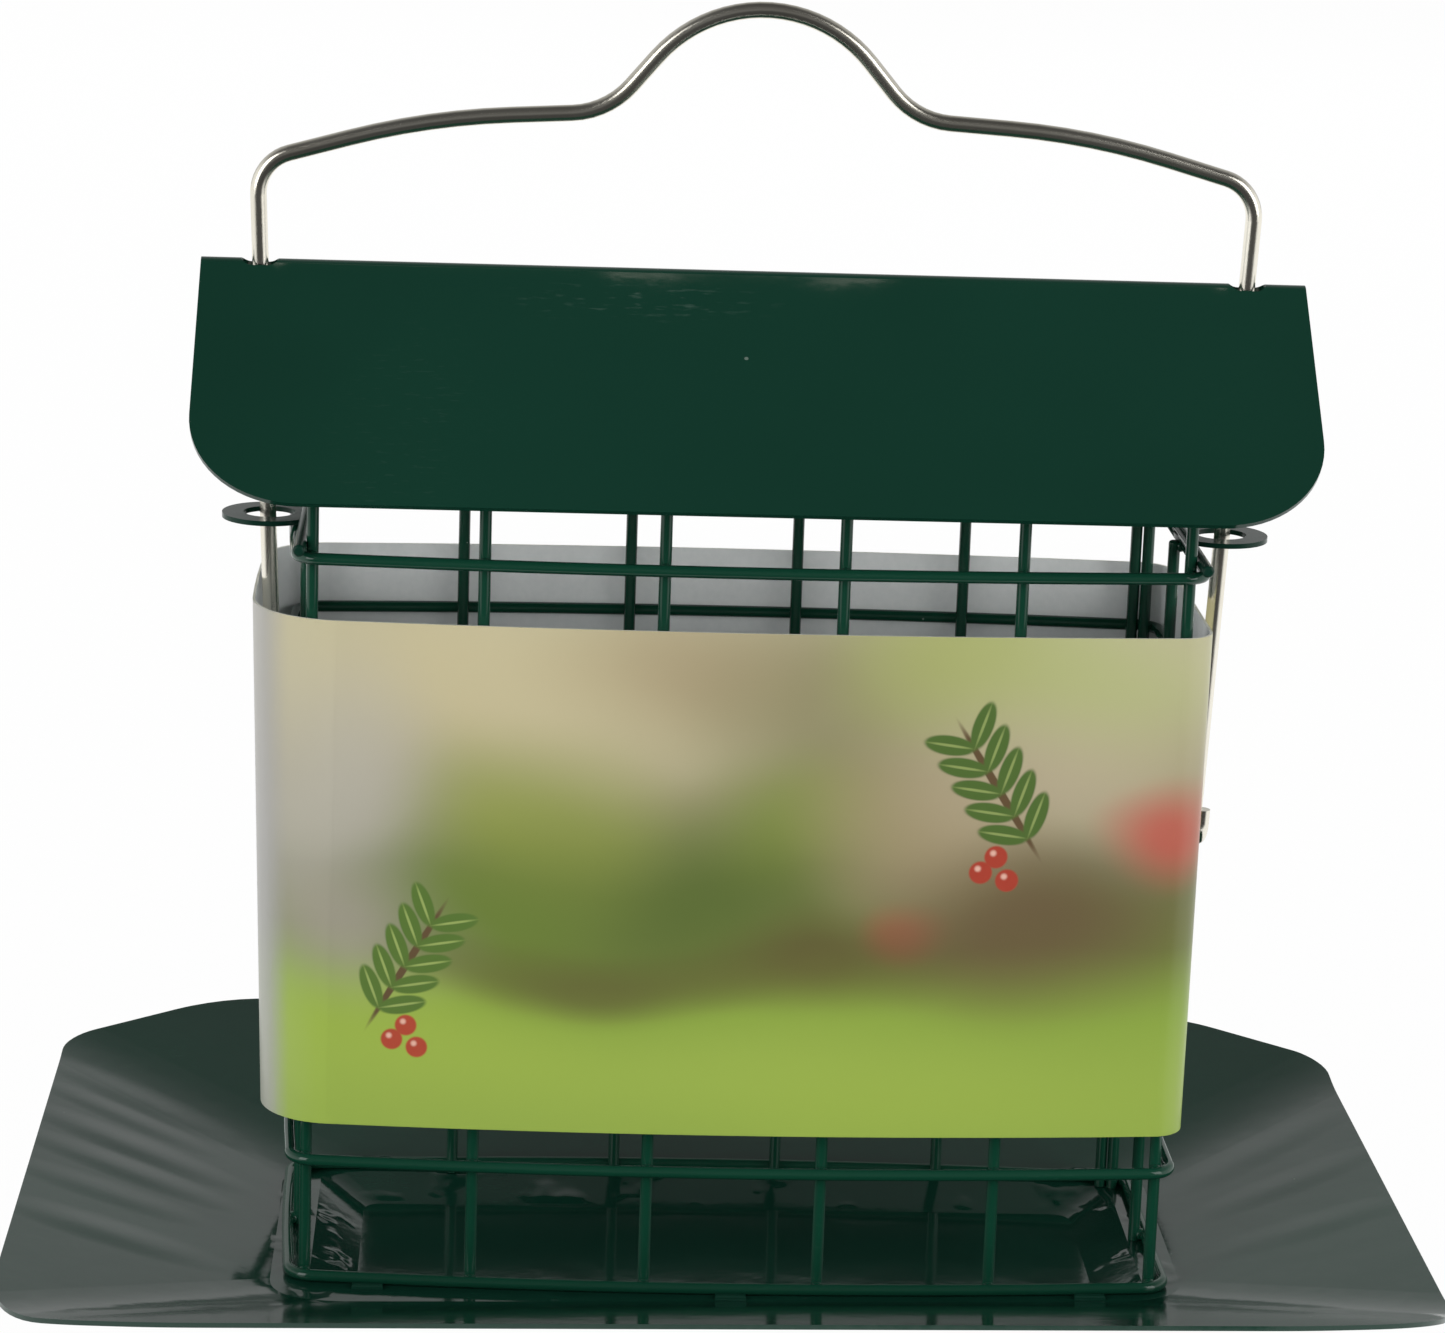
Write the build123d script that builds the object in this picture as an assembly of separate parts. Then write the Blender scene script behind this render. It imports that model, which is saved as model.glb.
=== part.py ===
"""Suet feeder: a welded wire cage on a pressed tray, under a gable roof that slides on a bail handle."""

import math
import os

from build123d import *

# The origin is the middle of the cage at the height of its bottom ring, before the last move that sets the
# tray's middle over the origin and its underside on the ground. X runs along the ridge, the front faces -Y.

# Cage wire
WIRE_D = 1.9
WELD_BITE = 0.02
RING_SEAT_GAP = 0.02
CAGE_LENGTH = 141.0
CAGE_DEPTH = 50.4
RING_PITCH = 19.6
RIM_PITCH = 16.9
RING_CORNER_R = 4.0
FACE_BOW = 3.4
LEFT_SKEW = 2.2
LEFT_BOW = 0.5
UPRIGHT_FOOT_GAP = 0.05

# Places of the uprights, measured from the cage's middle
FRONT_PITCH = 27.8
BACK_PITCH = 27.7
BACK_SHIFT = 3.8
SEAM_GAP = 0.06
SIDE_UPRIGHT_SHIFT = 1.5
SIDE_UPRIGHT_DROP = 0.1

# Tray
SHEET_T = 0.8
TRAY_LENGTH = 226.0
TRAY_DEPTH = 150.0
TRAY_FRONT_INSET = 8.0
TRAY_BACK_INSET = 12.0
TRAY_WING = 27.0
TRAY_SHIFT = 1.8
FRONT_TURN = 2.2
TRAY_FRONT_CORNER_R = 24.0
TRAY_BACK_CORNER_R = 9.0
TRAY_SHOULDER_R = 42.0
BASE_END_MARGIN = 1.0
BASE_SIDE_MARGIN = 6.3
SIDE_RISE = 14.0
END_RISE = 9.0
FOLD_R = 40.0
RECESS_END_MARGIN = 3.0
RECESS_SIDE_MARGIN = 0.4
RECESS_SINK = 3.0
RECESS_WALL_RUN = 7.5
RECESS_CORNER_R = 9.0

# Weld pads of the tray beside the bottom ring
PAD_LENGTH = 5.0
PAD_WIDTH = 1.4
PAD_HEIGHT = 0.7
PAD_GAP = 0.1
PAD_SPACING = 58.0

# Roof
ROOF_END_MARGIN = 9.2
ROOF_DEPTH = 77.0
ROOF_FALL = 31.6
ROOF_CORNER_R = 17.0
RIDGE_R = 2.2
ROOF_SEAT_GAP = 0.3
LEG_SLOT_LENGTH = 6.0
LEG_SLOT_WIDTH = 3.6

# Handle
HANDLE_D = 2.6
LEG_OUTSET = 1.8
LEG_LEAN = 2.2
SHOULDER_ABOVE_RIDGE = 14.6
SHOULDER_R = 6.5
RUN_SPREAD = 104.0
RUN_R = 120.0
RUN_DROP = 1.7
CREST_ABOVE_SHOULDER = 9.2
CREST_SPREAD = 48.2
CREST_R = 13.0
HUMP_SLOPE = 49.7
HUMP_R = 21.8
LEG_REACH = 88.0
HOOK_R = 2.9
HOOK_END = 2.4
HOOK_TURN = 3.0

# Eyelet brackets at the cage's ends
PLATE_T = 0.8
EYE_OVERHANG = 5.7
EYE_OUTER_D = 15.0
EYE_HOLE_D = 8.2
ARM_FRONT_REACH = 29.0
ARM_BACK_REACH = 18.0

# Card sleeve
CARD_T = 0.4
CARD_CLEARANCE = 0.15
SLEEVE_FOOT = 26.5
SLEEVE_HEIGHT = 81.9
SLEEVE_LEFT_ROOM = 2.7
SLEEVE_LEFT_BOW = 0.8
SLEEVE_LEFT_FLARE = 2.0
SLEEVE_RIGHT_FLARE = 0.3
SLEEVE_FRONT_R = 12.0
SLEEVE_BACK_R = 9.0
SLEEVE_FRONT_R_FLARE = 3.0
SLEEVE_BACK_R_FLARE = 2.0

# One overrun serves every cut
OVERRUN = 5.0

RING_NAMES = (
    "bottom_ring",
    "lower_ring",
    "second_ring",
    "third_ring",
    "fourth_ring",
    "fifth_ring",
    "upper_ring",
    "rim_ring",
)

# Sizes that follow from the ones above
wire_r = WIRE_D / 2
weld_offset = WIRE_D - WELD_BITE
ring_x = CAGE_LENGTH / 2
ring_y = CAGE_DEPTH / 2
base_length = CAGE_LENGTH + 2 * (LEFT_SKEW + BASE_END_MARGIN)
base_depth = CAGE_DEPTH + 2 * BASE_SIDE_MARGIN
upper_ring_z = RING_PITCH * (len(RING_NAMES) - 2)
rim_z = upper_ring_z + RIM_PITCH
tray_top = -wire_r - RING_SEAT_GAP
ground_z = tray_top - RECESS_SINK - SHEET_T
lift = -ground_z

eye_x = ring_x + EYE_OVERHANG
leg_slot_x = eye_x + LEG_OUTSET
roof_length = 2 * (leg_slot_x + ROOF_END_MARGIN)
roof_half = ROOF_DEPTH / 2
roof_slope = math.atan2(ROOF_FALL, roof_half)
sheet_drop = SHEET_T / math.cos(roof_slope)
ridge_z = rim_z + (wire_r + ROOF_SEAT_GAP) / math.cos(roof_slope) + sheet_drop
ridge_z += (ring_y + FACE_BOW) * math.tan(roof_slope)

handle_r = HANDLE_D / 2
lean = math.radians(LEG_LEAN)
shoulder_z = ridge_z + SHOULDER_ABOVE_RIDGE
plate_z = upper_ring_z + wire_r + RING_SEAT_GAP
card_ring_gap = wire_r + CARD_CLEARANCE + CARD_T


def ring_run(x, side):
    """How far from the middle a ring's bowed front run (side -1) or back run (side 1) lies at x."""
    slide = LEFT_SKEW / 2 if side > 0 else 0
    bow_r = ((ring_x + slide) ** 2 + FACE_BOW**2) / (2 * FACE_BOW)
    return ring_y + FACE_BOW - bow_r + math.sqrt(bow_r**2 - (x + slide) ** 2)


def round_wire(path, radius):
    """A round wire swept along a path."""
    start = Plane(origin=path @ 0, z_dir=path % 0)
    return sweep(start * Circle(radius), path=path)


def rounded_loop(left, skew, left_bow, right, depth, radii):
    """A face with a bowed front and back, a bowed left end that may slant and a straight right end."""
    corners = [(-left, -depth), (right, -depth), (right, depth), (-left - skew, depth)]
    front = ThreePointArc(corners[0], ((right - left) / 2, -depth - FACE_BOW), corners[1])
    end_right = Line(corners[1], corners[2])
    back = ThreePointArc(corners[2], ((right - left - skew) / 2, depth + FACE_BOW), corners[3])
    end_left = ThreePointArc(corners[3], (-left - skew / 2 - left_bow, 0), corners[0])
    face = make_face([front, end_right, back, end_left])
    for (x, y), radius in zip(corners, radii):
        corner = face.vertices().sort_by_distance(Vector(x, y, 0))[0]
        face = fillet(corner, radius)
    return face


def cage_loop():
    """The outline that the middle of a ring's wire follows."""
    return rounded_loop(ring_x, LEFT_SKEW, LEFT_BOW, ring_x, ring_y, [RING_CORNER_R] * 4)


def cage_ring(z):
    """One closed ring of the cage."""
    return round_wire((Pos(0, 0, z) * cage_loop()).face().outer_wire(), wire_r)


def corner_places():
    """The corner uprights' centres inside the ring's bends: the front pair, then the back pair."""
    places = []
    for bend in cage_loop().edges().filter_by(GeomType.CIRCLE):
        if abs(bend.radius - RING_CORNER_R) < WELD_BITE:
            outward = (bend @ 0.5 - bend.arc_center).normalized()
            spot = bend.arc_center + outward * (RING_CORNER_R - weld_offset)
            places.append((spot.X, spot.Y))
    front = sorted(place for place in places if place[1] < 0)
    back = sorted(place for place in places if place[1] > 0)
    return front, back


def upright(x, y, top):
    """One straight wire of the cage from the tray up to a height, with a rounded top."""
    foot = tray_top + UPRIGHT_FOOT_GAP
    rod = Pos(x, y, foot) * Cylinder(wire_r, top - foot, align=(Align.CENTER, Align.CENTER, Align.MIN))
    return fillet(rod.edges().group_by(Axis.Z)[-1], wire_r / 2)


def front_places():
    """The front uprights' centres: four at an even pitch and one in each corner."""
    (left, right), _ = corner_places()
    inner = [FRONT_PITCH * (i - 1.5) for i in range(4)]
    return [left, *[(x, weld_offset - ring_run(x, -1)) for x in inner], right]


def back_places():
    """The back uprights' centres: the corners, four at an even pitch, and the seam's second wire."""
    _, (left, right) = corner_places()
    inner = [BACK_PITCH * (i - 1.5) - BACK_SHIFT for i in range(4)]
    inner.append(right[0] - WIRE_D - SEAM_GAP)
    return [left, *[(x, ring_run(x, 1) - weld_offset) for x in inner], right]


def four_sides(half_x, half_y, turn, z):
    """A rectangle whose front side is turned a little in plan."""
    skew = half_x * math.tan(math.radians(turn))
    corners = [(half_x, half_y), (-half_x, half_y), (-half_x, -half_y - skew), (half_x, -half_y + skew)]
    return Pos(0, 0, z) * make_face(Polyline(*corners, close=True))


def frustum(half_x, half_y, run_x, run_y, turn, low, high):
    """A solid with a four-sided foot whose sides all lean outward up to a height."""
    foot = four_sides(half_x, half_y, turn, low)
    head = four_sides(half_x + run_x, half_y + run_y, turn, high)
    return loft([foot, head], ruled=True)


def tray_outline():
    """The tray's outline from above: a wide middle that narrows to both ends, with round corners."""
    x_end = TRAY_LENGTH / 2
    x_mid = x_end - TRAY_WING
    y_mid = TRAY_DEPTH / 2
    y_front = y_mid - TRAY_FRONT_INSET
    y_back = y_mid - TRAY_BACK_INSET
    points = [
        (x_mid, y_mid),
        (-x_mid, y_mid),
        (-x_end, y_back),
        (-x_end, -y_front),
        (-x_mid, -y_mid),
        (x_mid, -y_mid),
        (x_end, -y_front),
        (x_end, y_back),
    ]
    face = make_face(Polyline(*points, close=True))
    for y, radius in ((-y_front, TRAY_FRONT_CORNER_R), (y_back, TRAY_BACK_CORNER_R)):
        pair = [face.vertices().sort_by_distance(Vector(side * x_end, y, 0))[0] for side in (-1, 1)]
        face = fillet(pair, radius)
    shoulders = [v for v in face.vertices() if abs(abs(v.X) - x_mid) + abs(abs(v.Y) - y_mid) < SHEET_T]
    return fillet(shoulders, TRAY_SHOULDER_R)


def dish(sink):
    """The space above the tray's sheet, or above its underside when it is sunk by the sheet's thickness."""
    side_slope = SIDE_RISE / (TRAY_DEPTH / 2 - base_depth / 2)
    end_slope = END_RISE / (TRAY_LENGTH / 2 - base_length / 2)
    rise = 2 * SIDE_RISE
    body = frustum(
        base_length / 2,
        base_depth / 2,
        rise / end_slope,
        rise / side_slope,
        FRONT_TURN,
        tray_top,
        tray_top + rise,
    )
    creases = [e for e in body.edges() if e.bounding_box().size.Z > SIDE_RISE]
    body = fillet(creases, FOLD_R)
    return Pos(0, 0, -sink) * body


def recess(sink):
    """The shallow seat under the cage, with leaning walls."""
    half_x = ring_x - RECESS_END_MARGIN - RECESS_WALL_RUN
    half_y = ring_y - RECESS_SIDE_MARGIN - RECESS_WALL_RUN
    slope = RECESS_WALL_RUN / RECESS_SINK
    body = frustum(
        half_x,
        half_y,
        RECESS_WALL_RUN + OVERRUN * slope,
        RECESS_WALL_RUN + OVERRUN * slope,
        0,
        tray_top - RECESS_SINK,
        tray_top + OVERRUN,
    )
    corners = [e for e in body.edges() if e.bounding_box().size.Z > RECESS_SINK]
    return Pos(0, 0, -sink) * fillet(corners, RECESS_CORNER_R)


def weld_pad(x, side):
    """A low round pad of the tray at the outer foot of the bottom ring."""
    y = side * (ring_run(x, side) + wire_r + PAD_GAP + PAD_WIDTH / 2)
    pad = Pos(x, y, tray_top) * Box(PAD_LENGTH, PAD_WIDTH, 2 * PAD_HEIGHT)
    return fillet(pad.edges().group_by(Axis.Z)[-1], PAD_HEIGHT / 2)


def tray():
    """The pressed tray: a flat base, four upswept sides, the recess and the weld pads."""
    height = 2 * SIDE_RISE + RECESS_SINK + SHEET_T
    blank = extrude(Pos(-TRAY_SHIFT, 0, ground_z) * tray_outline(), amount=height)
    seat = Pos(0, 0, ground_z) * Box(
        base_length, base_depth, RECESS_SINK + SHEET_T / 2, align=(Align.CENTER, Align.CENTER, Align.MIN)
    )
    outer = dish(SHEET_T) + (recess(SHEET_T) & seat)
    sheet = (blank & outer) - dish(0) - recess(0)
    for x in (-PAD_SPACING, 0, PAD_SPACING):
        for side in (-1, 1):
            sheet += weld_pad(x, side)
    return sheet


def roof():
    """The gable roof: one bent sheet with rounded lower corners and a slot in the ridge for each leg."""
    low = ridge_z - ROOF_FALL
    cut = SHEET_T * math.sin(roof_slope)
    rise = SHEET_T * math.cos(roof_slope)
    profile = make_face(
        Plane.YZ
        * Polyline(
            (0, ridge_z),
            (roof_half, low),
            (roof_half - cut, low - rise),
            (0, ridge_z - sheet_drop),
            (-roof_half + cut, low - rise),
            (-roof_half, low),
            close=True,
        )
    )
    sheet = extrude(profile, amount=roof_length / 2, both=True)
    sheet = fillet(sheet.edges().filter_by(Axis.X).group_by(Axis.Z)[-1], RIDGE_R)
    under = [e for e in sheet.edges().filter_by(Axis.X) if abs(e.center().Z - ridge_z + sheet_drop) < cut]
    sheet = fillet(min(under, key=lambda e: abs(e.center().Y)), RIDGE_R - SHEET_T)
    ends = [*sheet.faces().group_by(Axis.X)[0].edges(), *sheet.faces().group_by(Axis.X)[-1].edges()]
    corners = [e for e in ends if abs(e.length - SHEET_T) < cut and e.center().Z < low + SHEET_T]
    sheet = fillet(corners, ROOF_CORNER_R)
    for side in (-1, 1):
        slot = Pos(side * leg_slot_x, 0, low) * SlotOverall(LEG_SLOT_LENGTH, LEG_SLOT_WIDTH)
        sheet -= extrude(slot, amount=ROOF_FALL + OVERRUN)
    return sheet


def handle_outline():
    """The bail's corners in the XZ plane, from the left leg's foot to the right one's, and their bends."""
    leg_x = leg_slot_x + SHOULDER_ABOVE_RIDGE * math.tan(lean)
    foot_x = leg_x - (SHOULDER_ABOVE_RIDGE + LEG_REACH) * math.tan(lean)
    foot_z = ridge_z - LEG_REACH
    crest_z = shoulder_z + CREST_ABOVE_SHOULDER
    half = [
        (foot_x, foot_z),
        (leg_x, shoulder_z),
        (RUN_SPREAD / 2, crest_z - RUN_DROP),
        (CREST_SPREAD / 2, crest_z),
    ]
    apex = (0, crest_z + CREST_SPREAD / 2 * math.tan(math.radians(HUMP_SLOPE)))
    points = [(-x, z) for x, z in half] + [apex] + [(x, z) for x, z in reversed(half)]
    radii = [SHOULDER_R, RUN_R, CREST_R, HUMP_R, CREST_R, RUN_R, SHOULDER_R]
    return points, radii


def handle_path():
    """The bail's centre line in the XZ plane, with a bend of its own radius at every corner."""
    points, radii = handle_outline()
    wire = Wire(Polyline(*points).edges())
    for (x, z), radius in zip(points[1:-1], radii):
        corner = [v for v in wire.vertices() if abs(v.X - x) + abs(v.Y - z) < WELD_BITE]
        wire = wire.fillet_2d(radius, corner)
    return Plane.XZ * wire, points


def foot_hook(foot, down, side):
    """The turned-up end of one leg, bent toward the front and a little outward."""
    turn = math.radians(HOOK_TURN)
    aside = Vector(side * math.sin(turn), -math.cos(turn), 0)
    aside = (aside - down * aside.dot(down)).normalized()
    low = foot + aside * HOOK_R + down * HOOK_R
    far = foot + aside * (2 * HOOK_R)
    return [ThreePointArc(foot, low, far), Line(far, far - down * HOOK_END)]


def handle():
    """The bail handle: one wire with a hump to hang it by and a hook at each foot."""
    wire, points = handle_path()
    left = Vector(points[0][0], 0, points[0][1])
    right = Vector(points[-1][0], 0, points[-1][1])
    down_left = Vector(math.sin(lean), 0, -math.cos(lean))
    down_right = Vector(-math.sin(lean), 0, -math.cos(lean))
    hooks = foot_hook(left, down_left, -1) + foot_hook(right, down_right, 1)
    path = Wire([*wire.edges(), *[e for hook in hooks for e in hook.edges()]])
    return round_wire(path, handle_r)


def eyelet_bracket(side):
    """A short wire on the upper ring's end, with a flat eye welded to it for the leg."""
    corner_x, _ = corner_places()[0][max(side, 0)]
    arm_x = abs(corner_x) + weld_offset
    arm = Rot(90, 0, 0) * Cylinder(wire_r, ARM_FRONT_REACH + ARM_BACK_REACH)
    arm = fillet(arm.edges(), wire_r / 2)
    arm = Pos(side * arm_x, (ARM_BACK_REACH - ARM_FRONT_REACH) / 2, plate_z + wire_r) * arm
    eye = Circle(EYE_OUTER_D / 2) - Circle(EYE_HOLE_D / 2)
    return arm + extrude(Pos(side * eye_x, 0, plate_z) * eye, amount=PLATE_T)


def sleeve_loop(share, inset):
    """The sleeve's outline at a share of its height, or that outline moved inward."""
    left = ring_x + LEFT_SKEW + SLEEVE_LEFT_ROOM + share * SLEEVE_LEFT_FLARE
    right = ring_x + card_ring_gap + share * SLEEVE_RIGHT_FLARE
    front_r = SLEEVE_FRONT_R + share * SLEEVE_FRONT_R_FLARE
    back_r = SLEEVE_BACK_R + share * SLEEVE_BACK_R_FLARE
    right_r = RING_CORNER_R + card_ring_gap
    radii = [radius - inset for radius in (front_r, right_r, right_r, back_r)]
    depth = ring_y + card_ring_gap
    loop = rounded_loop(left - inset, 0, SLEEVE_LEFT_BOW, right - inset, depth - inset, radii)
    return Pos(0, 0, SLEEVE_FOOT + share * SLEEVE_HEIGHT) * loop


def card_sleeve():
    """The printed card band that is wrapped round the cage and one leg of the handle."""
    shells = []
    for inset in (0, CARD_T):
        shells.append(loft([sleeve_loop(0, inset), sleeve_loop(1, inset)], ruled=True))
    return shells[0] - shells[1]


def build():
    """Every piece by name, in the cage's own heights."""
    pieces = {"tray": tray(), "roof": roof(), "handle": handle(), "card_sleeve": card_sleeve()}
    for i, name in enumerate(RING_NAMES):
        pieces[name] = cage_ring(min(RING_PITCH * i, rim_z))
    top = rim_z + wire_r
    for i, (x, y) in enumerate(front_places(), start=1):
        pieces[f"front_upright_{i}"] = upright(x, y, top)
    for i, (x, y) in enumerate(back_places(), start=1):
        pieces[f"back_upright_{i}"] = upright(x, y, top)
    side_top = plate_z - SIDE_UPRIGHT_DROP
    left_x = ring_x + LEFT_SKEW / 2 + LEFT_BOW - weld_offset
    pieces["left_side_upright"] = upright(-left_x, 0, side_top)
    pieces["right_side_upright"] = upright(ring_x - weld_offset, -SIDE_UPRIGHT_SHIFT, side_top)
    pieces["left_eyelet_bracket"] = eyelet_bracket(-1)
    pieces["right_eyelet_bracket"] = eyelet_bracket(1)
    return pieces


os.makedirs("parts", exist_ok=True)
for name, piece in build().items():
    export_step(Pos(TRAY_SHIFT, 0, lift) * piece, f"parts/{name}.step")
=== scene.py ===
"""Looks of the suet feeder: green enamel sheet and wire, a polished wire handle and a printed card sleeve.

Lengths are in metres and angles in degrees, unless a name or comment says otherwise. Colours are 8-bit.
"""

import math

import bmesh
import bpy
from mathutils import Matrix, Vector

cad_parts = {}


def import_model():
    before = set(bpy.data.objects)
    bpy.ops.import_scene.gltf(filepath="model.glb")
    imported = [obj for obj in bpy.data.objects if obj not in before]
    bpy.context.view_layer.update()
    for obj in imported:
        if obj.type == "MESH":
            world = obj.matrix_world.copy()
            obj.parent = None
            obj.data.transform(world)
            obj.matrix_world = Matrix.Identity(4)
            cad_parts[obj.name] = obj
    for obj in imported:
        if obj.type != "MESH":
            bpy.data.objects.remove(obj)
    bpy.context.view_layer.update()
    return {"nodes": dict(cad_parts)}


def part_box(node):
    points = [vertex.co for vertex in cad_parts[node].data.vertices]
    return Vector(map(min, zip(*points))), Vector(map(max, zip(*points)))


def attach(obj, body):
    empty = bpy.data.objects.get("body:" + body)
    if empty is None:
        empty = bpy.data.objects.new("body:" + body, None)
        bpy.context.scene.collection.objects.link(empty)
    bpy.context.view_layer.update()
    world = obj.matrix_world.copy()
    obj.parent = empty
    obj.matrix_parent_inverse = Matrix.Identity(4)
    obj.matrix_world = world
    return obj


MM = 0.001

# Camera, fitted to the wires of the cage in the photograph
IMAGE_WIDTH_PX = 1445
FOCAL_PX = 4500
SENSOR_MM = 36.0
CAMERA_YAW = 2.94
CAMERA_PITCH = 14.04
CAMERA_ROLL = 1.98
CAMERA_PLACE = (-0.0375, -0.7027, 0.2763)
CAMERA_REACH = 20

# Floor: half its width, its front edge, its share of pure white where it is seen, and its matte grey
FLOOR_HALF = 3.0
FLOOR_FRONT = -0.12
FLOOR_WHITE = 0.98
FLOOR_MATTE = 0.8

# Levels of the surroundings by the height of a direction, from -1, straight down, to 1, straight up
BACK_LEVELS = [
    (-0.1, 0.30),
    (0.0, 0.50),
    (0.36, 0.55),
    (0.60, 0.42),
    (0.82, 0.30),
    (0.95, 0.12),
    (0.99, 0.06),
]
FRONT_LEVELS = [(-0.2, 0.05), (0.2, 0.13), (0.9, 0.06)]
SIDE_LEVELS = [(-0.3, 0.95), (0.3, 0.90), (0.6, 0.50), (0.9, 0.06)]

# How far back a direction points where the front levels turn into the back ones, and how far to a side
FRONT_TO_BACK = (-0.3, 0.3)
MIDDLE_TO_SIDE = (0.6, 0.95)

# Two corners of the black card behind the tray
FLAG_LOW = (-0.0605, 0.079, 0.0235)
FLAG_HIGH = (0.074, 0.079, 0.0405)

# Soft lights, all aimed at the middle of the feeder: name, place, size, power in watts, mirrored or not
LAMP_AIM = (0, 0, 0.1)
LEFT_PLACE = (-1.30, -1.20, 0.72)
RIGHT_PLACE = (1.35, -1.15, 0.72)
SIDE_SIZE = (0.9, 1.34)
LAMPS = [
    ("left_gloss", LEFT_PLACE, SIDE_SIZE, 10, True),
    ("right_gloss", RIGHT_PLACE, SIDE_SIZE, 9, True),
    ("left_fill", LEFT_PLACE, SIDE_SIZE, 13, False),
    ("right_fill", RIGHT_PLACE, SIDE_SIZE, 12, False),
    ("low_front_fill", (0.0, -1.90, 0.42), (2.2, 0.5), 12, False),
    ("back_fill", (0.2, 1.8, 0.9), (1.6, 0.9), 14, False),
]

# Radius of the cage's wires, and of the beads of coating at their crossings
WIRE_R = 0.00095
BEAD_R = WIRE_R * 1.12

# In the materials, a scale is in waves or cells per metre, and a cut is the span over which a noise fades in

# Enamel: its colours, its roughness and gloss, and the slow change of its tone
WIRE_GREEN = (14, 56, 41)
BRACKET_GREEN = (14, 46, 36)
TRAY_GREEN = (14, 48, 37)
ROOF_GREEN = (13, 50, 38)
ENAMEL_ROUGHNESS = 0.1
ENAMEL_GLOSS = 0.5
BRACKET_ROUGHNESS = 0.22
BRACKET_GLOSS = 0.2
WORN_ROUGHNESS = 0.4
TONE_SCALE = 14.0
TONE_CUT = (0.3, 0.7)
TONE_SPREAD = 0.08

# Dust specks: size as a share of a cell, the least share of that size, and the cells that hold one
DUST_SCALE = 210.0
DUST_SIZE = 0.055
DUST_LEAST = 0.35
DUST_CUT = (0.90, 0.91)
DUST_COLOUR = (150, 165, 155)
DUST_STRENGTH = 0.35

# Scuffs: streaks within worn patches
STREAK_STRETCH = (1.0, 6.0, 6.0)
STREAK_SCALE = 420.0
STREAK_CUT = (0.60, 0.72)
PATCH_SCALE = 28.0
PATCH_CUT = (0.55, 0.72)
SCUFF_AMOUNT = 0.12
SCUFF_COLOUR = (110, 135, 125)
SCUFF_STRENGTH = 0.3

# Orange peel: its height, and how much finer and weaker its small waves are
PEEL_SCALE = 110.0
PEEL_MM = 0.05
PEEL_FINER = 5.0
PEEL_WEAKER = 0.25

# Pressing marks on the tray's wings: ends of each soft ridge in plan, half width and height, in millimetres
WING_RIDGES = [
    ((-120, 55), (-76, 29), 6.0, 0.30),
    ((-120, 43), (-80, 22), 4.6, 0.20),
    ((-121, 30), (-74, 9), 6.2, 0.34),
    ((-120, 17), (-76, 0), 5.8, 0.30),
    ((-120, 2), (-80, -9), 5.6, 0.20),
    ((-120, -16), (-76, -25), 6.4, 0.30),
    ((117, 44), (76, 15), 6.2, 0.14),
    ((119, 22), (78, 3), 5.8, 0.14),
    ((120, -3), (78, -13), 6.0, 0.12),
]

# Dents in the walls of the recess: their height, and the heights over which they start and end
DENT_SCALE = 95.0
DENT_CUT = (0.5, 0.8)
DENT_MM = 0.5
DENTS_START = (0.0010, 0.0018)
DENTS_END = (0.0040, 0.0036)

# The rubbed patch below the roof's ridge: centre and half size in X and Z, softness, grain and strength
RUB_PLACE = (-0.017, 0.1605)
RUB_HALF = (0.016, 0.0022)
RUB_SOFT = 0.7
RUB_GRAIN = (280.0, 1300.0, 1300.0)
RUB_CUT = (0.56, 0.74)
RUB_STRENGTH = 0.5

# Steel of the handle: clean and a little stained, with fine drawing lines
STEEL_CLEAN = (244, 240, 227)
STEEL_STAINED = (234, 229, 214)
STEEL_ROUGHNESS = (0.18, 0.26)
STAIN_SCALE = 60.0
STAIN_CUT = (0.35, 0.75)
LINES_STRETCH = (8.0, 900.0, 8.0)
LINES_SCALE = 4.0
LINES_CUT = (0.3, 0.7)
LINES_STRENGTH = 0.15
LINES_DEPTH = 0.03 * MM

# The card around its print: grey left end and how well it covers, bare board inside and cut edge
END_GREY = (160, 159, 157)
END_COVER = 0.85
BOARD_DARK = (222, 226, 225)
BOARD_LIGHT = (234, 236, 235)
BOARD_ROUGHNESS = 0.75
PRINT_ROUGHNESS = 0.34
CUT_EDGE = (222, 222, 208)

# How far a face of the card has to turn to count as a cut edge, and to fade into the left end
EDGE_FACING = 0.7
END_FACING = (-0.55, -0.90)

# Grain of the board, and the slow waves of the card
GRAIN_SCALE = 900.0
GRAIN_SHARE = 0.01
WAVE_SCALE = 26.0
WAVE_STRENGTH = 0.5
WAVE_DEPTH = 0.8 * MM

# How far the garden's colours wander, at most, along each axis
GARDEN_SCALE = 18.0
GARDEN_DRIFT = (0.03, 0.0, 0.02)

# Colours of the garden from the foot of the print to its top
GARDEN_HEIGHTS = [
    (0.0, (152, 176, 78)),
    (0.16, (140, 166, 68)),
    (0.34, (112, 124, 62)),
    (0.55, (112, 114, 74)),
    (0.80, (156, 150, 116)),
    (1.0, (190, 184, 152)),
]

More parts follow.
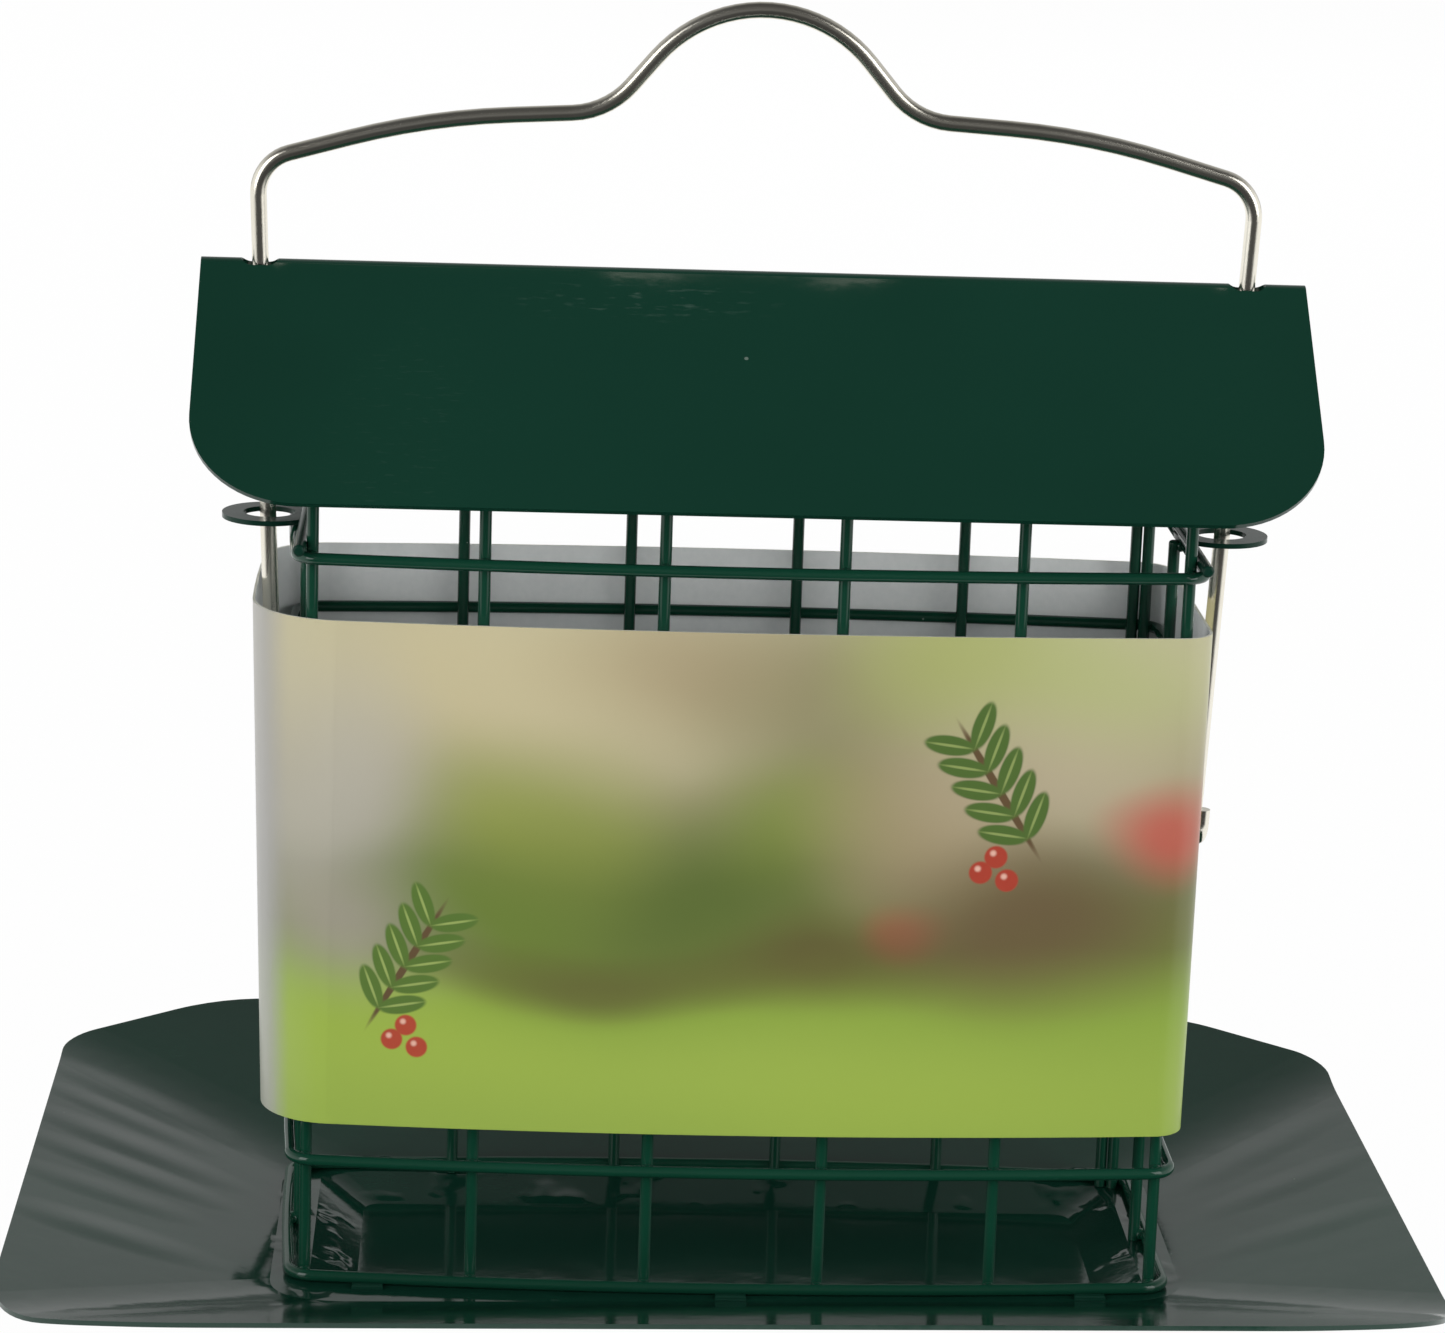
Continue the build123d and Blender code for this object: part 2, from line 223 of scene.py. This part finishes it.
# Soft patches: centre and half size as shares of the print, softness, strength and colour
SOFT_PATCHES = [
    (0.26, 0.90, 0.20, 0.16, 0.8, 0.7, (204, 192, 152)),
    (0.47, 0.94, 0.10, 0.10, 0.9, 0.5, (150, 128, 96)),
    (0.60, 0.86, 0.10, 0.16, 0.8, 0.6, (124, 120, 78)),
    (0.74, 0.94, 0.10, 0.12, 0.9, 0.7, (162, 172, 92)),
    (0.88, 0.90, 0.10, 0.14, 0.9, 0.6, (178, 186, 122)),
    (0.09, 0.66, 0.10, 0.20, 0.9, 0.7, (188, 184, 174)),
    (0.30, 0.64, 0.10, 0.12, 0.8, 0.7, (142, 156, 64)),
    (0.43, 0.52, 0.12, 0.14, 0.9, 0.8, (86, 106, 46)),
    (0.56, 0.64, 0.09, 0.11, 0.8, 0.6, (126, 144, 58)),
    (0.24, 0.46, 0.10, 0.11, 0.9, 0.7, (104, 128, 50)),
    (0.11, 0.38, 0.08, 0.12, 0.9, 0.6, (170, 160, 154)),
    (0.69, 0.60, 0.10, 0.14, 0.9, 0.6, (174, 154, 124)),
    (0.85, 0.68, 0.12, 0.12, 0.9, 0.6, (194, 180, 154)),
    (0.93, 0.60, 0.05, 0.07, 0.8, 0.8, (190, 82, 72)),
    (0.68, 0.42, 0.035, 0.045, 0.8, 0.6, (178, 90, 72)),
    (0.80, 0.42, 0.12, 0.12, 0.8, 0.8, (102, 80, 60)),
    (0.58, 0.36, 0.11, 0.07, 0.8, 0.7, (90, 74, 48)),
    (0.34, 0.33, 0.13, 0.06, 0.8, 0.7, (92, 86, 50)),
    (0.16, 0.16, 0.16, 0.10, 0.9, 0.5, (160, 184, 74)),
    (0.64, 0.12, 0.30, 0.10, 0.9, 0.5, (164, 188, 80)),
]

# Sprigs: centre as shares of the print, lean, size, and the colours of leaf, rib and berry
SPRIGS = [
    (0.78, 0.70, 32, 1.55, (78, 104, 48), (140, 156, 92), (168, 64, 48)),
    (0.17, 0.33, -30, 1.45, (86, 114, 50), (150, 168, 96), (174, 72, 52)),
]

# Parts of a sprig of size 1: half sizes as shares of the print's width, and how soft their outlines are
STEM_HALF = (0.0028, 0.052)
STEM_SOFT = 0.2
STEM_COLOUR = (96, 76, 52)
LEAF_HALF = (0.017, 0.0068)
LEAF_SOFT = 0.12
RIB_HALF = (0.0136, 0.0009)
RIB_SOFT = 0.5
BERRY_R = 0.0078
BERRY_SOFT = 0.12
SHINE_R = 0.002
SHINE_SOFT = 0.6
SHINE_COLOUR = (226, 176, 158)

# Places in a sprig of size 1: leaves as shares of the stem's half length and by their spread from it, berries
# from the sprig's centre and the shine from a berry's, as shares of the print
LEAF_STEPS = (-0.75, -0.4, -0.05, 0.3, 0.65)
LEAF_SPREAD = 50
BERRY_PLACES = [(-0.010, -0.105), (0.008, -0.115), (0.0, -0.085)]
SHINE_PLACE = (-0.002, 0.005)

# The print's width over its height, which turns a share of the width into one of the height
PRINT_ASPECT = 1.84


def linear(colour):
    """Linear light of an 8-bit colour, with full opacity."""
    shares = [level / 255 for level in colour]
    return tuple(s / 12.92 if s <= 0.04045 else ((s + 0.055) / 1.055) ** 2.4 for s in shares) + (1.0,)


def grey(level):
    """A neutral linear colour."""
    return (level, level, level, 1.0)


# Shader helpers


class Graph:
    """A small helper that adds nodes to one tree and links them."""

    def __init__(self, tree):
        self.tree = tree

    def node(self, kind, **inputs):
        """A new node with its inputs filled by name."""
        node = self.tree.nodes.new(kind)
        for name, value in inputs.items():
            self.set(node.inputs[name.replace("_", " ")], value)
        return node

    def set(self, socket, value):
        """Links another node's output to a socket, or gives the socket a value."""
        if isinstance(value, bpy.types.NodeSocket):
            self.tree.links.new(value, socket)
        else:
            socket.default_value = value

    def math(self, operation, first, second=0.0, third=0.0):
        """The result of one operation on numbers."""
        node = self.tree.nodes.new("ShaderNodeMath")
        node.operation = operation
        for socket, value in zip(node.inputs, (first, second, third)):
            self.set(socket, value)
        return node.outputs[0]

    def mix(self, share, first, second):
        """The first colour blended into the second by a share."""
        node = self.tree.nodes.new("ShaderNodeMix")
        node.data_type = "RGBA"
        factor, first_colour, second_colour = node.inputs[0], node.inputs[6], node.inputs[7]
        self.set(factor, share)
        self.set(first_colour, first)
        self.set(second_colour, second)
        return node.outputs[2]

    def mix_shaders(self, share, first, second):
        """The first shader blended into the second by a share."""
        node = self.node("ShaderNodeMixShader", Fac=share)
        self.set(node.inputs[1], first)
        self.set(node.inputs[2], second)
        return node.outputs[0]

    def span(self, value, low, high, out_low=0.0, out_high=1.0):
        """A value moved smoothly from one span to another."""
        node = self.tree.nodes.new("ShaderNodeMapRange")
        node.interpolation_type = "SMOOTHSTEP"
        for socket, given in zip(node.inputs, (value, low, high, out_low, out_high)):
            self.set(socket, given)
        return node.outputs[0]

    def ramp(self, value, stops):
        """A colour ramp over 0 to 1. Stops are places and linear colours, in rising order."""
        node = self.node("ShaderNodeValToRGB", Fac=value)
        elements = node.color_ramp.elements
        elements[0].position, elements[1].position = stops[0][0], stops[-1][0]
        for place, _ in stops[1:-1]:
            elements.new(place)
        for element, (_, colour) in zip(elements, stops):
            element.color = colour
        return node.outputs["Color"]

    def split(self, vector):
        """The node that takes a vector apart."""
        return self.node("ShaderNodeSeparateXYZ", Vector=vector)

    def stretch(self, vector, scale):
        """A vector scaled by a factor of its own along each axis."""
        return self.node("ShaderNodeMapping", Vector=vector, Scale=scale).outputs[0]

    def noise(self, vector, scale, detail):
        """Soft noise from about 0 to 1."""
        return self.node("ShaderNodeTexNoise", Vector=vector, Scale=scale, Detail=detail).outputs["Fac"]

    def bump(self, height, strength, distance):
        """The normal of a surface raised by a height."""
        return self.node("ShaderNodeBump", Height=height, Strength=strength, Distance=distance).outputs[0]


def empty_graph(owner):
    """The emptied node tree of a material or a world."""
    owner.use_nodes = True
    owner.node_tree.nodes.clear()
    return Graph(owner.node_tree)


# Camera, floor and light


def mesh_object(name, bm):
    """A linked object with the mesh of a finished bmesh."""
    mesh = bpy.data.meshes.new(name)
    bm.to_mesh(mesh)
    bm.free()
    thing = bpy.data.objects.new(name, mesh)
    bpy.context.scene.collection.objects.link(thing)
    return thing


def add_camera():
    """A camera at the photograph's place and angle."""
    yaw, pitch, roll = (math.radians(angle) for angle in (CAMERA_YAW, CAMERA_PITCH, CAMERA_ROLL))
    ahead = Vector((math.sin(yaw) * math.cos(pitch), math.cos(yaw) * math.cos(pitch), -math.sin(pitch)))
    right = Vector((math.cos(yaw), -math.sin(yaw), 0))
    up = right.cross(ahead)
    turned_right = right * math.cos(roll) + up * math.sin(roll)
    turned_up = up * math.cos(roll) - right * math.sin(roll)
    data = bpy.data.cameras.new("camera")
    data.sensor_fit = "HORIZONTAL"
    data.sensor_width = SENSOR_MM
    data.lens = SENSOR_MM * FOCAL_PX / IMAGE_WIDTH_PX
    data.clip_end = CAMERA_REACH
    camera = bpy.data.objects.new("camera", data)
    turn = Matrix((turned_right, turned_up, -ahead)).transposed().to_4x4()
    camera.matrix_world = Matrix.Translation(CAMERA_PLACE) @ turn
    bpy.context.scene.collection.objects.link(camera)
    bpy.context.scene.camera = camera


def add_floor():
    """A floor from just before the feeder to far behind it: white where it is seen, matte to soft light."""
    bm = bmesh.new()
    bmesh.ops.create_grid(bm, x_segments=1, y_segments=1, size=FLOOR_HALF)
    for vert in bm.verts:
        if vert.co.y < 0:
            vert.co.y = FLOOR_FRONT
    floor = mesh_object("floor", bm)
    material = bpy.data.materials.new("studio_floor")
    g = empty_graph(material)
    path = g.node("ShaderNodeLightPath")
    seen = g.math("MAXIMUM", path.outputs["Is Camera Ray"], path.outputs["Is Glossy Ray"])
    matte = g.node("ShaderNodeBsdfDiffuse", Color=grey(FLOOR_MATTE)).outputs[0]
    white = g.node("ShaderNodeEmission", Color=grey(1.0)).outputs[0]
    surface = g.mix_shaders(g.math("MULTIPLY", seen, FLOOR_WHITE), matte, white)
    g.node("ShaderNodeOutputMaterial", Surface=surface)
    floor.data.materials.append(material)


def add_flag():
    """A black card behind the tray, which only mirroring surfaces see: it keeps the recess dark."""
    low, high = Vector(FLAG_LOW), Vector(FLAG_HIGH)
    size = Matrix.Diagonal((high.x - low.x, high.z - low.z, 1, 1))
    upright = Matrix.Rotation(math.radians(90), 4, "X")
    bm = bmesh.new()
    bmesh.ops.create_grid(bm, x_segments=1, y_segments=1, size=0.5)
    bmesh.ops.transform(bm, matrix=Matrix.Translation((low + high) / 2) @ upright @ size, verts=bm.verts)
    flag = mesh_object("flag", bm)
    black = bpy.data.materials.new("studio_black")
    g = empty_graph(black)
    matte = g.node("ShaderNodeBsdfDiffuse", Color=grey(0.0)).outputs[0]
    g.node("ShaderNodeOutputMaterial", Surface=matte)
    flag.data.materials.append(black)
    flag.visible_camera = False
    flag.visible_diffuse = False
    flag.visible_shadow = False
    flag.visible_transmission = False


def level_ramp(g, height, levels):
    """Brightness of the surroundings by the height of a direction."""
    stops = [(place / 2 + 0.5, grey(level)) for place, level in levels]
    return g.ramp(g.math("MULTIPLY_ADD", height, 0.5, 0.5), stops)


def add_sky():
    """White to the camera; to all else bright behind and at the sides, dark in front and overhead."""
    world = bpy.data.worlds.new("studio")
    bpy.context.scene.world = world
    g = empty_graph(world)
    way = g.split(g.node("ShaderNodeTexCoord").outputs["Generated"])
    back = level_ramp(g, way.outputs["Z"], BACK_LEVELS)
    front = level_ramp(g, way.outputs["Z"], FRONT_LEVELS)
    sides = level_ramp(g, way.outputs["Z"], SIDE_LEVELS)
    level = g.mix(g.span(way.outputs["Y"], *FRONT_TO_BACK), front, back)
    level = g.mix(g.span(g.math("ABSOLUTE", way.outputs["X"]), *MIDDLE_TO_SIDE), level, sides)
    around = g.node("ShaderNodeBackground", Color=level).outputs[0]
    white = g.node("ShaderNodeBackground", Color=grey(1.0)).outputs[0]
    seen = g.node("ShaderNodeLightPath").outputs["Is Camera Ray"]
    g.node("ShaderNodeOutputWorld", Surface=g.mix_shaders(seen, around, white))


def add_softbox(name, place, size, power, mirrored):
    """One rectangular soft light. One that isn't mirrored gives no gloss."""
    data = bpy.data.lights.new(name, "AREA")
    data.shape = "RECTANGLE"
    data.size, data.size_y = size
    data.energy = power
    lamp = bpy.data.objects.new(name, data)
    lamp.location = place
    way = Vector(LAMP_AIM) - Vector(place)
    lamp.rotation_euler = way.to_track_quat("-Z", "Y").to_euler()
    lamp.visible_glossy = mirrored
    bpy.context.scene.collection.objects.link(lamp)


# Pieces


def weld_beads(nodes):
    """The small pools of coating where each upright crosses each ring."""
    ring_heights = []
    for ring in (name for name in nodes if name.endswith("_ring")):
        low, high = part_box(ring)
        ring_heights.append((low.z + high.z) / 2)
    bm = bmesh.new()
    for upright in (name for name in nodes if "upright" in name):
        low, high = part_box(upright)
        middle = (low + high) / 2
        outward = Vector((0, math.copysign(WIRE_R, middle.y), 0))
        if "side" in upright:
            outward = Vector((math.copysign(WIRE_R, middle.x), 0, 0))
        for height in ring_heights:
            if height <= high.z:
                spot = Matrix.Translation(Vector((middle.x, middle.y, height)) + outward)
                bmesh.ops.create_icosphere(bm, subdivisions=2, radius=BEAD_R, matrix=spot)
    beads = mesh_object("weld_beads", bm)
    for face in beads.data.polygons:
        face.use_smooth = True
    return beads


# Effects that materials share


def new_group(name, inputs, output):
    """A shader node group with inputs of given kinds and one float output: its tree, inputs and output."""
    group = bpy.data.node_groups.new(name, "ShaderNodeTree")
    for label, kind in inputs.items():
        group.interface.new_socket(label, in_out="INPUT", socket_type=kind)
    group.interface.new_socket(output, in_out="OUTPUT", socket_type="NodeSocketFloat")
    given = group.nodes.new("NodeGroupInput").outputs
    return group, given, group.nodes.new("NodeGroupOutput").inputs[output]


def specks_group():
    """Dust specks: bright dots, few and far between, each of its own size."""
    inputs = {"Vector": "NodeSocketVector", "Scale": "NodeSocketFloat", "Size": "NodeSocketFloat"}
    group, given, mask = new_group("dust_specks", inputs, "Mask")
    g = Graph(group)
    cells = g.node("ShaderNodeTexVoronoi", Vector=given["Vector"], Scale=given["Scale"])
    pick = g.node("ShaderNodeSeparateColor", Color=cells.outputs["Color"])
    rare = g.span(pick.outputs[0], *DUST_CUT)
    reach = g.math("MULTIPLY", given["Size"], g.math("ADD", pick.outputs[1], DUST_LEAST))
    near = g.math("LESS_THAN", cells.outputs["Distance"], reach)
    g.set(mask, g.math("MULTIPLY", rare, near))
    return group


def scuffs_group():
    """Fine scuffs: short streaks in worn patches."""
    inputs = {"Vector": "NodeSocketVector", "Patch Scale": "NodeSocketFloat", "Amount": "NodeSocketFloat"}
    group, given, mask = new_group("fine_scuffs", inputs, "Mask")
    g = Graph(group)
    stretched = g.stretch(given["Vector"], STREAK_STRETCH)
    streaks = g.span(g.noise(stretched, scale=STREAK_SCALE, detail=3.0), *STREAK_CUT)
    patches = g.span(g.noise(given["Vector"], scale=given["Patch Scale"], detail=1.0), *PATCH_CUT)
    g.set(mask, g.math("MULTIPLY", g.math("MULTIPLY", streaks, patches), given["Amount"]))
    return group


def orange_peel_group():
    """The slight waviness of sprayed enamel, as a height."""
    inputs = {"Vector": "NodeSocketVector", "Scale": "NodeSocketFloat"}
    group, given, height = new_group("orange_peel", inputs, "Height")
    g = Graph(group)
    coarse = g.noise(given["Vector"], scale=given["Scale"], detail=1.0)
    fine = g.noise(given["Vector"], scale=g.math("MULTIPLY", given["Scale"], PEEL_FINER), detail=1.0)
    g.set(height, g.math("ADD", coarse, g.math("MULTIPLY", fine, PEEL_WEAKER)))
    return group


def blot_group():
    """A soft or sharp ellipse on the XZ plane, as a mask."""
    inputs = {"Vector": "NodeSocketVector"}
    inputs |= {label: "NodeSocketFloat" for label in ("X", "Z", "Width", "Height", "Turn", "Soft")}
    group, given, mask = new_group("print_blot", inputs, "Mask")
    g = Graph(group)
    place = g.split(given["Vector"])
    dx = g.math("SUBTRACT", place.outputs["X"], given["X"])
    dz = g.math("SUBTRACT", place.outputs["Z"], given["Z"])
    cosine = g.math("COSINE", given["Turn"])
    sine = g.math("SINE", given["Turn"])
    along = g.math("ADD", g.math("MULTIPLY", dx, cosine), g.math("MULTIPLY", dz, sine))
    across = g.math("SUBTRACT", g.math("MULTIPLY", dz, cosine), g.math("MULTIPLY", dx, sine))
    u = g.math("DIVIDE", along, given["Width"])
    v = g.math("DIVIDE", across, given["Height"])
    far = g.math("SQRT", g.math("ADD", g.math("MULTIPLY", u, u), g.math("MULTIPLY", v, v)))
    inner = g.math("SUBTRACT", 1.0, given["Soft"])
    outer = g.math("ADD", 1.0, given["Soft"])
    g.set(mask, g.span(far, inner, outer, 1.0, 0.0))
    return group


def use_group(g, group, **inputs):
    """The output of one of the shared effects, placed in a material."""
    node = g.tree.nodes.new("ShaderNodeGroup")
    node.node_tree = group
    for name, value in inputs.items():
        g.set(node.inputs[name.replace("_", " ")], value)
    return node.outputs[0]


def blot(g, groups, vector, place, half, soft, turn=0.0):
    """Mask of one ellipse, by centre, half size, softness and turn in radians.

    A soft one fades from 1 - soft to 1 + soft times its half size.
    """
    (x, z), (width, height) = place, half
    return use_group(
        g, groups["blot"], Vector=vector, X=x, Z=z, Width=width, Height=height, Turn=turn, Soft=soft
    )


# Enamel and steel


def start_material(name):
    """A node material with its graph, its shader and Object coordinates."""
    material = bpy.data.materials.new(name)
    g = empty_graph(material)
    shader = g.node("ShaderNodeBsdfPrincipled")
    g.node("ShaderNodeOutputMaterial", Surface=shader.outputs[0])
    place = g.node("ShaderNodeTexCoord").outputs["Object"]
    return material, g, shader, place


def tray_relief(g, place, groups):
    """Soft ridges fanned over the wings and small dents along the walls of the recess, in millimetres."""
    where = g.split(place)
    plan = g.node("ShaderNodeCombineXYZ", X=where.outputs["X"], Z=where.outputs["Y"]).outputs[0]
    dents = g.span(g.noise(place, scale=DENT_SCALE, detail=2.0), *DENT_CUT)
    above_floor = g.span(where.outputs["Z"], *DENTS_START)
    below_base = g.span(where.outputs["Z"], *DENTS_END)
    on_wall = g.math("MULTIPLY", above_floor, below_base)
    height = g.math("MULTIPLY", dents, g.math("MULTIPLY", on_wall, DENT_MM))
    for outer, inner, half_width, rise in WING_RIDGES:
        run = (Vector(inner) - Vector(outer)) * MM
        middle = (Vector(inner) + Vector(outer)) / 2 * MM
        half = (run.length / 4, half_width / 2 * MM)
        ridge = blot(g, groups, plan, middle, half, soft=1.0, turn=math.atan2(run.y, run.x))
        height = g.math("MULTIPLY_ADD", ridge, rise, height)
    return height


def roof_wear(g, place, groups):
    """A faint rubbed patch just below the ridge."""
    patch = blot(g, groups, place, RUB_PLACE, RUB_HALF, RUB_SOFT)
    grain = g.span(g.noise(g.stretch(place, RUB_GRAIN), scale=1.0, detail=3.0), *RUB_CUT)
    return g.math("MULTIPLY", g.math("MULTIPLY", patch, grain), RUB_STRENGTH)


def enamel(name, colour, groups, roughness=ENAMEL_ROUGHNESS, gloss=ENAMEL_GLOSS, relief=None, wear=None):
    """Glossy green enamel with orange peel, dust and fine scuffs, and a relief or wear of its own."""
    material, g, shader, place = start_material(name)
    specks = use_group(g, groups["specks"], Vector=place, Scale=DUST_SCALE, Size=DUST_SIZE)
    scuffs = use_group(g, groups["scuffs"], Vector=place, Patch_Scale=PATCH_SCALE, Amount=SCUFF_AMOUNT)
    if wear:
        scuffs = g.math("MAXIMUM", scuffs, wear(g, place, groups))
    tone = g.span(g.noise(place, scale=TONE_SCALE, detail=2.0), *TONE_CUT)
    *middle, opacity = linear(colour)
    dark = (*(level * (1 - TONE_SPREAD) for level in middle), opacity)
    light = (*(level * (1 + TONE_SPREAD) for level in middle), opacity)
    paint = g.mix(tone, dark, light)
    paint = g.mix(g.math("MULTIPLY", specks, DUST_STRENGTH), paint, linear(DUST_COLOUR))
    paint = g.mix(g.math("MULTIPLY", scuffs, SCUFF_STRENGTH), paint, linear(SCUFF_COLOUR))
    worn = g.math("MAXIMUM", specks, scuffs)
    height = g.math("MULTIPLY", use_group(g, groups["peel"], Vector=place, Scale=PEEL_SCALE), PEEL_MM)
    if relief:
        height = g.math("ADD", height, relief(g, place, groups))
    g.set(shader.inputs["Base Color"], paint)
    g.set(shader.inputs["Specular IOR Level"], gloss)
    g.set(shader.inputs["Roughness"], g.span(worn, 0.0, 1.0, roughness, WORN_ROUGHNESS))
    g.set(shader.inputs["Normal"], g.bump(height, strength=1.0, distance=MM))
    return material


def polished_wire():
    """Polished steel wire, a little warm, with fine drawing lines."""
    material, g, shader, place = start_material("polished_steel_wire")
    lines = g.noise(g.stretch(place, LINES_STRETCH), scale=LINES_SCALE, detail=3.0)
    stain = g.span(g.noise(place, scale=STAIN_SCALE, detail=2.0), *STAIN_CUT)
    g.set(shader.inputs["Base Color"], g.mix(stain, linear(STEEL_CLEAN), linear(STEEL_STAINED)))
    g.set(shader.inputs["Metallic"], 1.0)
    g.set(shader.inputs["Roughness"], g.span(lines, *LINES_CUT, *STEEL_ROUGHNESS))
    g.set(shader.inputs["Normal"], g.bump(lines, LINES_STRENGTH, LINES_DEPTH))
    return material


# The printed card: a blurred garden with sprigs of leaves and berries


def card_faces(g, place):
    """Masks of the card's outer face, its cut edges and its left end."""
    facing = g.split(g.node("ShaderNodeNewGeometry").outputs["Normal"])
    where = g.split(place)
    along_x = g.math("MULTIPLY", facing.outputs["X"], where.outputs["X"])
    along_y = g.math("MULTIPLY", facing.outputs["Y"], where.outputs["Y"])
    outside = g.math("GREATER_THAN", g.math("ADD", along_x, along_y), 0.0)
    edge = g.math("GREATER_THAN", g.math("ABSOLUTE", facing.outputs["Z"]), EDGE_FACING)
    end = g.span(facing.outputs["X"], *END_FACING)
    return outside, edge, end


def soft_garden(g, place, groups, low, high):
    """The blurred garden: colours that follow the height, with soft patches over them."""
    wander = g.node("ShaderNodeTexNoise", Vector=place, Scale=GARDEN_SCALE, Detail=1.0)
    drift = g.node("ShaderNodeVectorMath")
    drift.operation = "MULTIPLY_ADD"
    for socket, value in zip(drift.inputs, (wander.outputs["Color"], GARDEN_DRIFT, place)):
        g.set(socket, value)
    drifted = drift.outputs[0]
    mean = Vector(GARDEN_DRIFT) / 2
    share = g.span(g.split(drifted).outputs["Z"], low.z + mean.z, high.z + mean.z)
    picture = g.ramp(share, [(height, linear(colour)) for height, colour in GARDEN_HEIGHTS])
    width, tall = high.x - low.x, high.z - low.z
    for x_share, z_share, w_share, h_share, soft, strength, colour in SOFT_PATCHES:
        centre = (low.x + width * x_share + mean.x, low.z + tall * z_share + mean.z)
        patch = blot(g, groups, drifted, centre, (width * w_share, tall * h_share), soft)
        picture = g.mix(g.math("MULTIPLY", patch, strength), picture, linear(colour))
    return picture


def sprig_marks(x, z, lean, size, leaf, rib, berry):
    """Marks of one sprig: leaves in pairs up a leaning stem, each with a pale rib, and berries at its foot.

    Each has a centre as shares of the print, half sizes as shares of its width, turn, softness and colour.
    """

    def sized(*shares):
        return tuple(share * size for share in shares)

    marks = [(x, z, *sized(*STEM_HALF), lean, STEM_SOFT, STEM_COLOUR)]
    reach = STEM_HALF[1] * size
    out = LEAF_HALF[0] * size
    up = math.radians(lean + 90)
    for step in LEAF_STEPS:
        root_x = x + math.cos(up) * reach * step
        root_z = z + math.sin(up) * reach * step * PRINT_ASPECT
        for side in (-1, 1):
            tilt = lean + 90 - side * LEAF_SPREAD
            away = math.radians(tilt)
            centre = (root_x + math.cos(away) * out, root_z + math.sin(away) * out * PRINT_ASPECT)
            marks.append((*centre, *sized(*LEAF_HALF), tilt, LEAF_SOFT, leaf))
            marks.append((*centre, *sized(*RIB_HALF), tilt, RIB_SOFT, rib))
    for dx, dz in BERRY_PLACES:
        berry_x, berry_z = x + dx * size, z + dz * size
        shine_x, shine_z = berry_x + SHINE_PLACE[0] * size, berry_z + SHINE_PLACE[1] * size
        marks.append((berry_x, berry_z, *sized(BERRY_R, BERRY_R), 0.0, BERRY_SOFT, berry))
        marks.append((shine_x, shine_z, *sized(SHINE_R, SHINE_R), 0.0, SHINE_SOFT, SHINE_COLOUR))
    return marks


def draw_sprigs(g, place, groups, low, high, picture):
    """Sprigs of leaves and berries, drawn over the garden."""
    width, tall = high.x - low.x, high.z - low.z
    for sprig in SPRIGS:
        for x_share, z_share, w_share, h_share, turn, soft, colour in sprig_marks(*sprig):
            centre = (low.x + width * x_share, low.z + tall * z_share)
            half = (width * w_share, width * h_share)
            mark = blot(g, groups, place, centre, half, soft, math.radians(turn))
            picture = g.mix(mark, picture, linear(colour))
    return picture


def printed_card(groups):
    """Glossy print outside, grey board inside, a pale grey left end and a pale cut edge."""
    material, g, shader, place = start_material("printed_card")
    outside, edge, end = card_faces(g, place)
    low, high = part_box("card_sleeve")
    picture = soft_garden(g, place, groups, low, high)
    picture = draw_sprigs(g, place, groups, low, high, picture)
    picture = g.mix(g.math("MULTIPLY", end, END_COVER), picture, linear(END_GREY))
    grain = g.noise(place, scale=GRAIN_SCALE, detail=3.0)
    board = g.mix(grain, linear(BOARD_DARK), linear(BOARD_LIGHT))
    colour = g.mix(edge, g.mix(outside, board, picture), linear(CUT_EDGE))
    waves = g.math("MULTIPLY_ADD", grain, GRAIN_SHARE, g.noise(place, scale=WAVE_SCALE, detail=1.0))
    g.set(shader.inputs["Base Color"], colour)
    g.set(shader.inputs["Roughness"], g.span(outside, 0.0, 1.0, BOARD_ROUGHNESS, PRINT_ROUGHNESS))
    g.set(shader.inputs["Normal"], g.bump(waves, WAVE_STRENGTH, WAVE_DEPTH))
    return material


def dress_nodes(nodes, groups):
    """Puts each finish on the CAD nodes that have it, and gives back the coating of the wires."""
    wire = enamel("wire_coating", WIRE_GREEN, groups)
    bracket = enamel("bracket_coating", BRACKET_GREEN, groups, BRACKET_ROUGHNESS, BRACKET_GLOSS)
    finishes = {
        "tray": enamel("tray_enamel", TRAY_GREEN, groups, relief=tray_relief),
        "roof": enamel("roof_enamel", ROOF_GREEN, groups, wear=roof_wear),
        "handle": polished_wire(),
        "card_sleeve": printed_card(groups),
        "left_eyelet_bracket": bracket,
        "right_eyelet_bracket": bracket,
    }
    for name, node in nodes.items():
        node.data.materials.clear()
        node.data.materials.append(finishes.get(name, wire))
    return wire


def main():
    """Builds the whole picture in order."""
    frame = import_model()
    add_camera()
    add_floor()
    add_flag()
    add_sky()
    for lamp in LAMPS:
        add_softbox(*lamp)
    groups = {
        "specks": specks_group(),
        "scuffs": scuffs_group(),
        "peel": orange_peel_group(),
        "blot": blot_group(),
    }
    wire = dress_nodes(frame["nodes"], groups)
    beads = weld_beads(frame["nodes"])
    beads.data.materials.append(wire)
    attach(beads, "cage")
    bpy.context.scene.view_settings.view_transform = "Standard"


main()
